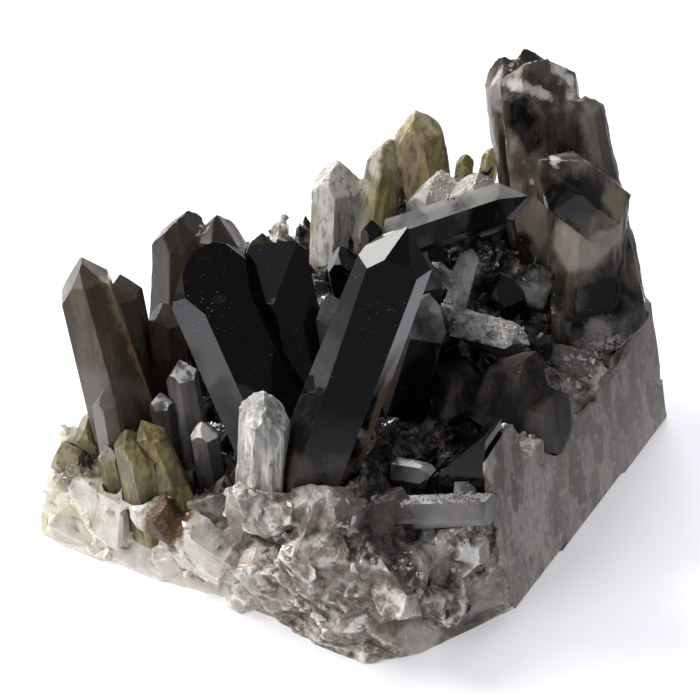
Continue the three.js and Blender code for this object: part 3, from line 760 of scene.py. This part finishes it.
# The same greyed by rock dust, with two knobs of cream sugar quartz on the lying crystal's back
dusted_morion = quartz(
    "dusted_morion_quartz", **MORION, body="#161514", clear=0.35, clouds="#5b554e", cloudy=0.16, finish=0.10,
    shine=0.2, dusty=0.45, zones=(
        ((10, 28, 91), 10.5, "#d8d5c8", 1.0, 1.0),
        ((21.5, 28.5, 96), 10, "#dad7cb", 1.0, 1.0),
        ((28, -3, 71), 3, "#b5b4b4", 0.9, 0.8),
    ),
)
place_crystals(flat_faced, "morion", dusted_morion, [
    "crystals_middle", "crystal_lying", "crystal_behind_shelf",
])
# The same cut through by the saw in the hollow at the right: black, lightened to a dark grey as painted
# light for the deep hollow, and only half polished. Its grey-brown clouds are partly its own and partly
# painted reflections and glints
sawn_morion = quartz(
    "sawn_morion_quartz", **MORION, body="#2b2828", clear=0.15, clouds="#625a53", cloudy=0.34, finish=0.35,
    shine=0.04,
)
place_crystals(flat_faced, "morion", sawn_morion, ["crystals_hollow"])


# Left crystals. Slim sharp-edged smoky quartz, less dark than morion and rooted in the bed: the big one at
# the far left with a small one at its foot, and two behind it.

# Brown, streaked along its length, with a tan right edge and a paler foot on the big one
brown_smoky = quartz(
    "brown_smoky_quartz", tint="#b3a695", density=200.0, body="#5e5140", clear=0.35, clouds="#75675a",
    cloudy=0.40, finish=0.08, shine=0.22, streaky=0.5, zones=(
        ((-52, -45, 76), 3, "#a3966c", 0.9, 0.4, (-48, -43, 60)),
        ((-47, -42, 56), 3, "#b3926a", 0.9, 0.4, (-44, -39, 34)),
        ((-52, -56, 42), 9, "#8d867e", 0.8, 0.5),
    ),
)
place_crystals(flat_faced, "morion", brown_smoky, [
    "crystal_left", "crystal_left_foot", "crystals_behind_left",
])


# Shelf and ledge crystals. Smoky quartz that lies in the hollow and makes the ledge at the lower right, and
# thin ones that stand between the left and the centre groups, all under dust from the broken rock.
SMOKY = {"tint": "#a89882", "density": 300.0, "clear": 0.4, "cloudy": 0.40, "finish": 0.18, "dusty": 0.1}

# Grey dust on their sides, and a white crust of rock sugar where they face up
crusted_smoky = quartz(
    "crusted_smoky_quartz", **SMOKY, body="#494442", clouds="#76706e", shine=0.4, crusty=0.42,
    flecks=(0.3, "#a8a4a2", "#2b2826"), zones=(((23, 23, 66), 10, "#f4f4f2", 0.95, 0.7),),
)
place_crystals(flat_faced, "morion", crusted_smoky, [
    "crystals_shelf", "crystals_between", "crystal_between_low",
])
# Cleaner, with the crust on flat tops alone
dusty_smoky = quartz(
    "dusty_smoky_quartz", **SMOKY, body="#454143", clouds="#7b7678", shine=0.3, crusty=0.85,
    zones=(((52, -43, 36), 10, "#bdb8ba", 0.85, 0.4),),
)
place_crystals(flat_faced, "smoky", dusty_smoky, [
    "crystals_ledge", "crystal_ledge_prism", "crystal_ledge_brown",
])


# Back left crystals. A rounded brown group of smoky quartz that has grown over again, so that its faces
# are lumpy and its edges soft.
OVERGROWN_VOXEL = 0.0007
OVERGROWN_CREASE = math.radians(18)


def overgrown(name, node_name, material, heights=(0.0014, 0.0008, 0.0004), stretch=(1, 1, 0.3),
              facet_share=0.2, crease=OVERGROWN_CREASE, calm=()):
    """A solid's mesh made close and uneven by lumps, facets and grains of these heights, drawn out up it,
    but hardly so at its calm places, each a centre and a radius in millimetres."""
    piece = copy_of(node_name, name)
    piece.data = close_mesh(piece, OVERGROWN_VOXEL)
    rough = np.ones(len(piece.data.vertices))
    for centre, radius in calm:
        away = np.linalg.norm(points_of(piece.data) - np.array(centre) * MM, axis=1)
        rough = np.minimum(rough, ramp(away, 0.7 * radius * MM, radius * MM) * 0.85 + 0.15)
    set_attribute(piece.data, "rough", rough)
    piece.data = grown(piece, uneven_skin, {
        "Material": material, "Lump size": 0.012, "Lump height": heights[0], "Facet size": 0.005,
        "Facet height": heights[1], "Grain size": 0.0018, "Grain height": heights[2], "Stretch": stretch,
        "Sink": 0.0002, "Highest": 0.0006,
    })
    piece.data = broken_up(piece, facet_share)
    set_attribute(piece.data, "upward", normals_of(piece.data)[:, 2])
    smooth_but_creased(piece.data, crease)
    return piece


# Uneven brown with a soft gloss, faintly cracked
back_brown = quartz(
    "rounded_brown_quartz", tint="#b3a48c", density=100.0, body="#4a3f31", clear=0.5, clouds="#665b4d",
    cloudy=0.34, finish=0.2, shine=0.15, streaky=0.15, flecks=(0.15, "#8d8376", "#2b251f"),
)
place_crystals(overgrown, "smoky", back_brown, ["crystals_back_left"])


# Tallest group. Smoky crystals at the back right that have grown together and over again, one of them
# short and thick, with white sugar quartz round their tips and feet.

# Grey-brown and see-through, clouded cream low down, black at the foot, in the thick one and near the tip
tall_brown = quartz(
    "clouded_brown_quartz", tint="#b8ab9a", density=80.0, body="#4f453a", clear=0.65, clouds="#897d6f",
    cloudy=0.38, finish=0.06, shine=0.3, streaky=0.1, flecks=(0.12, "#9a9084", "#2b2520"), zones=(
        ((29, 44, 92), 6, "#5a5048", 0.7, 0.3),
        ((31, 44, 74), 6, "#93887c", 0.8, 0.4),
        ((47, 33, 93), 9, "#1c1b1b", 0.85, 0.1),
        ((41, 36, 101), 1.5, "#cfcacb", 0.9, 0.4, (42, 34, 98)),
        ((41, 32, 91), 1, "#c9c0b8", 0.9, 0.6, (42, 31, 86)),
        ((31, 44, 87), 1, "#b3a49c", 0.8, 0.6),
        ((57, 42, 90), 4, "#b8ab8a", 0.7, 0.2, (60, 47, 76)),
        ((44, 54, 108), 4, "#8a8178", 0.6, 0.2, (50, 56, 92)),
        ((46, 42, 72), 7.5, "#cbc1b1", 0.85, 0.5, (58, 43, 74)),
        ((57, 43, 53), 11, "#1b191a", 0.9, 0.1),
        ((25, 45, 108), 5, "#0f0d0c", 0.9, 0.1, (29, 44, 101)),
        ((28, 55, 117), 4, "#665d56", 0.7, 0.2),
        ((30, 45, 62), 7, "#221f18", 0.8, 0.1),
        ((13, 54, 114), 2, "#d2c9c4", 0.9, 0.8, (16, 50, 103)),
        ((19, 48, 114), 1.5, "#c8c2bd", 0.9, 0.8, (33, 50, 112)),
        ((31, 58, 119), 2.5, "#d8d4cf", 0.9, 0.8, (38, 55, 113)),
        ((57, 41, 40), 5, "#c4beb7", 0.9, 0.8),
        ((56, 42, 46), 4, "#8d8784", 0.9, 0.6),
    ),
)
place_crystals(
    overgrown, "smoky", tall_brown, ["crystals_back_right"], heights=(0.0014, 0.0014, 0.0008),
    facet_share=0.16, calm=(((50, 36, 92), 15), ((57, 43, 55), 12)),
)


# Olive crystals. Golden olive smoky quartz: overgrown ones along the back, one of them grey and sugary, and
# flat-faced ones on the front left rim and the left edge.

# Cloudy gold-green with upright streaks and fine cracks
olive = quartz(
    "olive_smoky_quartz", tint="#dccd98", density=60.0, body="#9c8f5a", clear=0.45, clouds="#c0b189",
    cloudy=0.40, finish=0.12, shine=0.3, streaky=0.5, flecks=(0.6, "#cfc6ae", "#51472e"), zones=(
        ((-30, 35, 82), 9, "#e2e0da", 0.95, 0.6, (-28, 34, 42)),
        ((-20, 42, 78), 3, "#dcd9d0", 0.9, 0.8),
        ((-7, 46, 98), 5, "#a08668", 0.7, 0.2),
        ((-8, 46, 88), 3, "#c3ab8c", 0.8, 0.5, (-10, 45, 72)),
    ),
)
place_crystals(
    overgrown, "olive", olive, ["crystals_back", "crystals_back_thin"], heights=(0.0016, 0.0013, 0.0007),
)
# Browner and darker, and nearly free of the grey film
front_olive = quartz(
    "clouded_olive_quartz", tint="#cbbb86", density=110.0, body="#665a3d", clear=0.5, clouds="#a0905f",
    cloudy=0.42, finish=0.10, shine=0.3, streaky=0.5, flecks=(0.5, "#b8ac86", "#332b1a"), filmed=0.1, zones=(
        ((-60, -58, 22), 6, "#b3a587", 0.9, 0.6),
        ((-46, -62, 34), 5, "#b5b2ac", 0.9, 0.6),
    ),
)
place_crystals(flat_faced, "olive", front_olive, [
    "crystals_front_left", "crystal_left_edge", "crystal_left_corner",
])


# Milky crystal. A short one rooted at the front crystal's left foot, full of tiny healed cracks that make
# it white, and grown over rough.

# Sugary and bright, with dark upright cracks
milky = quartz(
    "milky_quartz", tint="#dcdccb", density=60.0, body="#c6c2b7", clear=0.3, clouds="#e2dfd6", cloudy=0.46,
    finish=0.15, flecks=(0.8, "#f1eee8", "#88827a"), zones=(
        ((9, -62, 46), 6, "#f1eddf", 0.9, 0.8),
        ((2, -63, 46), 4, "#b5aca8", 0.8, 0.5),
    ),
)
place_crystals(
    overgrown, "milky_crystal", milky, ["crystal_milky"], heights=(0.0024, 0.0036, 0.0024),
    stretch=(1, 1, 0.35), facet_share=0.12, crease=math.radians(10),
)


# Small growth. Splinters of broken quartz lodged in the rough skin, a druse of small smoky points between
# the crystals, and crumbs of rock on rims and crystals. Each kind is a few shapes, strewn by one tree,
# partly sunk, and made one mesh.
# The middle of each spot without druse, and the radii where the druse starts and where it is full
BARE_SPOTS = (
    ((0.030, -0.038), 0.006, 0.010),
    ((0.046, -0.050), 0.011, 0.015),
    ((0.022, -0.058), 0.010, 0.014),
)
FRONT_FOOT = (0.022, -0.060)


def splinter_shape(seed):
    """A broken splinter about 1 across: the hull of a few points."""
    random = np.random.default_rng(seed)
    work = bmesh.new()
    for point in random.uniform(-0.5, 0.5, (9, 3)):
        work.verts.new(point)
    bmesh.ops.convex_hull(work, input=work.verts)
    bmesh.ops.delete(work, geom=[v for v in work.verts if not v.link_faces], context="VERTS")
    mesh = bpy.data.meshes.new("splinter_shape")
    work.to_mesh(mesh)
    work.free()
    return mesh


def point_shape(seed):
    """A six-sided quartz point, 1 long with uneven sides, whose lowest quarter is sunk."""
    random = np.random.default_rng(seed)
    rings = []
    for height, girth, wander in ((-0.25, 0.19, 0.0), (0.45, 0.17, 0.12)):
        spins = (np.arange(6) + random.uniform(-0.15, 0.15, 6)) * math.pi / 3
        rings += [(girth * math.cos(a), girth * math.sin(a), height + random.uniform(-wander, wander))
                  for a in spins]
    tip = (random.uniform(-0.06, 0.06), random.uniform(-0.06, 0.06), 0.75)
    sides = [(n, (n + 1) % 6, 6 + (n + 1) % 6, 6 + n) for n in range(6)]
    cap = [(6 + n, 6 + (n + 1) % 6, 12) for n in range(6)]
    mesh = bpy.data.meshes.new("point_shape")
    mesh.from_pydata(rings + [tip], [], sides + cap + [tuple(reversed(range(6)))])
    return mesh


def strew_tree():
    """Stands shapes on a surface at random, as thick as its density attribute says."""
    tree, given = geometry_tree("strewn", [
        ("Material", "NodeSocketMaterial", None),
        ("Shapes", "NodeSocketCollection", None),
        ("Thickest per square metre", "NodeSocketFloat", 50000.0),
        ("Smallest", "NodeSocketFloat", 0.001),
        ("Largest", "NodeSocketFloat", 0.004),
        ("Large ones are rare", "NodeSocketFloat", 2.5),
        ("Follow the surface", "NodeSocketFloat", 0.5),
        ("Follow upward", "NodeSocketFloat", 0.5),
        ("Lean", "NodeSocketFloat", 0.5),
        ("Seed", "NodeSocketInt", 1),
    ])
    thickness = add_node(tree, "GeometryNodeInputNamedAttribute", {"data_type": "FLOAT"}, {"Name": "density"})
    density = add_node(tree, "ShaderNodeMath", {"operation": "MULTIPLY"}, {
        0: thickness, 1: given["Thickest per square metre"],
    })
    spread = add_node(tree, "GeometryNodeDistributePointsOnFaces", inputs={
        "Mesh": given["Geometry"], "Density": density, "Seed": given["Seed"],
    })

    def draw(kind, least, most, step):
        """A random value for each shape, from a seed of its own."""
        seed = add_node(tree, "ShaderNodeMath", {"operation": "ADD"}, {0: given["Seed"], 1: float(step)})
        return add_node(tree, "FunctionNodeRandomValue", {"data_type": kind}, {
            "Min": least, "Max": most, "Seed": seed,
        })

    axis = (0.0, 0.0, 0.0)
    for direction, share in (
        (spread.outputs["Normal"], given["Follow the surface"]),
        ((0.0, 0.0, 1.0), given["Follow upward"]),
        (draw("FLOAT_VECTOR", (-1, -1, -1), (1, 1, 1), 1), given["Lean"]),
    ):
        part = add_node(tree, "ShaderNodeVectorMath", {"operation": "SCALE"}, {0: direction, "Scale": share})
        axis = add_node(tree, "ShaderNodeVectorMath", {"operation": "ADD"}, {0: axis, 1: part})
    stood = add_node(tree, "FunctionNodeAlignRotationToVector", {"axis": "Z"}, {"Vector": axis})
    spin = add_node(tree, "FunctionNodeAxisAngleToRotation", inputs={
        "Axis": (0.0, 0.0, 1.0), "Angle": draw("FLOAT", 0.0, math.tau, 2),
    })
    turned = add_node(tree, "FunctionNodeRotateRotation", {"rotation_space": "LOCAL"}, {0: stood, 1: spin})
    share = add_node(tree, "ShaderNodeMath", {"operation": "POWER"}, {
        0: draw("FLOAT", 0.0, 1.0, 3), 1: given["Large ones are rare"],
    })
    size = add_node(tree, "ShaderNodeMapRange", inputs={
        "Value": share, "To Min": given["Smallest"], "To Max": given["Largest"],
    })
    shapes = add_node(tree, "GeometryNodeCollectionInfo", inputs={
        "Collection": given["Shapes"], "Separate Children": True, "Reset Children": True,
    })
    scale = add_node(tree, "ShaderNodeVectorMath", {"operation": "SCALE"}, {
        0: draw("FLOAT_VECTOR", (0.6, 0.6, 0.8), (1.3, 1.3, 1.2), 5), "Scale": size,
    })
    stands = add_node(tree, "GeometryNodeInstanceOnPoints", inputs={
        "Points": spread.outputs["Points"], "Instance": shapes, "Pick Instance": True,
        "Instance Index": draw("INT", 0, 99, 4), "Rotation": turned, "Scale": scale,
    })
    toned = add_node(tree, "GeometryNodeStoreNamedAttribute", {"data_type": "FLOAT", "domain": "INSTANCE"}, {
        "Geometry": stands, "Name": "tone", "Value": draw("FLOAT", 0.0, 1.0, 6),
    })
    return end_tree(tree, toned, given["Material"])


strewn = strew_tree()


def strew(name, ground, density, shapes, material, values):
    """A piece of these shapes strewn over the ground mesh, as thick as the density of each point."""
    piece = linked(name, ground.copy())
    set_attribute(piece.data, "density", density)
    kinds = bpy.data.collections.new(f"{name}_kinds")
    makers = [bpy.data.objects.new(f"{name}_kind", shape) for shape in shapes]
    for maker in makers:
        kinds.objects.link(maker)
    piece.data = grown(piece, strewn, {"Shapes": kinds, "Material": material, **values})
    # The shapes' own objects go, so that the strewn piece alone is left
    for maker in makers:
        bpy.data.objects.remove(maker)
    bpy.data.collections.remove(kinds)
    set_points(piece.data, np.clip(points_of(piece.data), box_low, box_high))
    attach(piece, "root")


# White sugar quartz: tiny loose-looking grains that catch the light
white_sugar, tree, place = new_material("white_sugar_quartz")
colour = painted(tree, linear("#d9d5cd"), [
    (attribute_mask(tree, "tone", 0.35, 0.0), "#a0978c"),
    (attribute_mask(tree, "tone", 0.6, 1.0), "#f5f3ee"),
])
sugar = add_node(tree, "ShaderNodeBsdfPrincipled", inputs={
    "Base Color": colour, "Roughness": 0.3, "IOR": QUARTZ_IOR,
})
add_node(tree, "ShaderNodeOutputMaterial", inputs={"Surface": sugar})
# Smoky quartz of the druse: dark and hardly clouded
druse_smoky = quartz(
    "druse_smoky_quartz", **MORION, body="#252221", clear=0.35, clouds="#6b6560", cloudy=0.34, finish=0.12,
    shine=0.2,
)

ground = block.data
co = points_of(ground)
upward = normals_of(ground)[:, 2]
from_saw = saw_reach - co @ saw_normal
off_saw = ramp(from_saw, 0.0015, 0.004)
open_side = (1 - in_bed) * off_saw * ramp(co[:, 2], 0.002, 0.005)
splinters = [splinter_shape(seed) for seed in range(5)]
splintered = open_side * (1 - 0.8 * front_left_of(co))
strew("rock_splinters", ground, splintered, splinters, milky_rock, {
    "Thickest per square metre": 18000.0, "Smallest": 0.0007, "Largest": 0.0050, "Seed": 11,
})

# The druse leaves the front crystal's foot and the two ledge crystals bare
points = [point_shape(seed) for seed in range(5)]
off_spots = np.minimum.reduce([
    ramp(np.hypot(co[:, 0] - x, co[:, 1] - y), bare, full) for (x, y), bare, full in BARE_SPOTS
])
fertile = ramp(in_bed, 0.3, 0.9) * off_spots * ramp(upward, 0.2, 0.6)
strew("bed_druse", ground, fertile, points, druse_smoky, {
    "Thickest per square metre": 50000.0, "Smallest": 0.0022, "Largest": 0.0105, "Large ones are rare": 2.2,
    "Follow the surface": 0.45, "Follow upward": 0.45, "Lean": 0.65, "Seed": 23,
})
strew("bed_splinters", ground, in_bed * ramp(upward, 0.0, 0.4), splinters, milky_rock, {
    "Thickest per square metre": 22000.0, "Smallest": 0.0008, "Largest": 0.0035, "Seed": 31,
})

# Crumbs lie where the rock's top comes to light: along the sawn rim, round the front crystal's foot, and
# on the bruised ridges
right_rim = ramp(from_saw, 0.014, 0.006) * off_saw * ramp(co[:, 2], 0.018, 0.024)
from_foot = np.hypot(co[:, 0] - FRONT_FOOT[0], co[:, 1] - FRONT_FOOT[1])
front_foot = ramp(from_foot, 0.016, 0.008) * ramp(co[:, 2], 0.036, 0.042)
flat = ramp(upward, 0.0, 0.5)
bruised = 0.4 * open_side * ramp(ridges_of(ground), 0.58, 0.75)
crumbled = np.maximum.reduce([right_rim * flat, 0.4 * front_foot * flat, bruised])
strew("rock_crumbs", ground, crumbled, splinters, white_sugar, {
    "Thickest per square metre": 300000.0, "Smallest": 0.0004, "Largest": 0.0034, "Large ones are rare": 3.0,
    "Seed": 41,
})
# and on the shelf and ledge crystals, the cream knobs and the foot of the tallest group
for step, (node_name, least, centre, radius, grains, slot) in enumerate((
    ("crystals_shelf", 0.45, (32, 12, 60), 60, white_sugar, "milky_rock"),
    ("crystals_ledge", 0.85, (51, -41, 39), 60, white_sugar, "milky_rock"),
    ("crystal_lying", -0.4, (15, 28, 95), 12.5, dusted_morion, "morion"),
    ("crystals_back_right", -1.0, (57, 41, 39), 8, milky_rock, "milky_rock"),
)):
    shelf = copy_of(node_name, f"{node_name}_ground")
    ledge = close_mesh(shelf, OVERGROWN_VOXEL)
    bpy.data.objects.remove(shelf)
    away = np.linalg.norm(points_of(ledge) - np.array(centre) * MM, axis=1)
    crumbled = ramp(normals_of(ledge)[:, 2], least - 0.1, least) * ramp(away, radius * MM, 0.7 * radius * MM)
    strew(f"{node_name}_crumbs", ledge, crumbled, splinters, grains, {
        "Thickest per square metre": 3000000.0, "Smallest": 0.0002, "Largest": 0.0013, "Seed": 51 + step,
    })
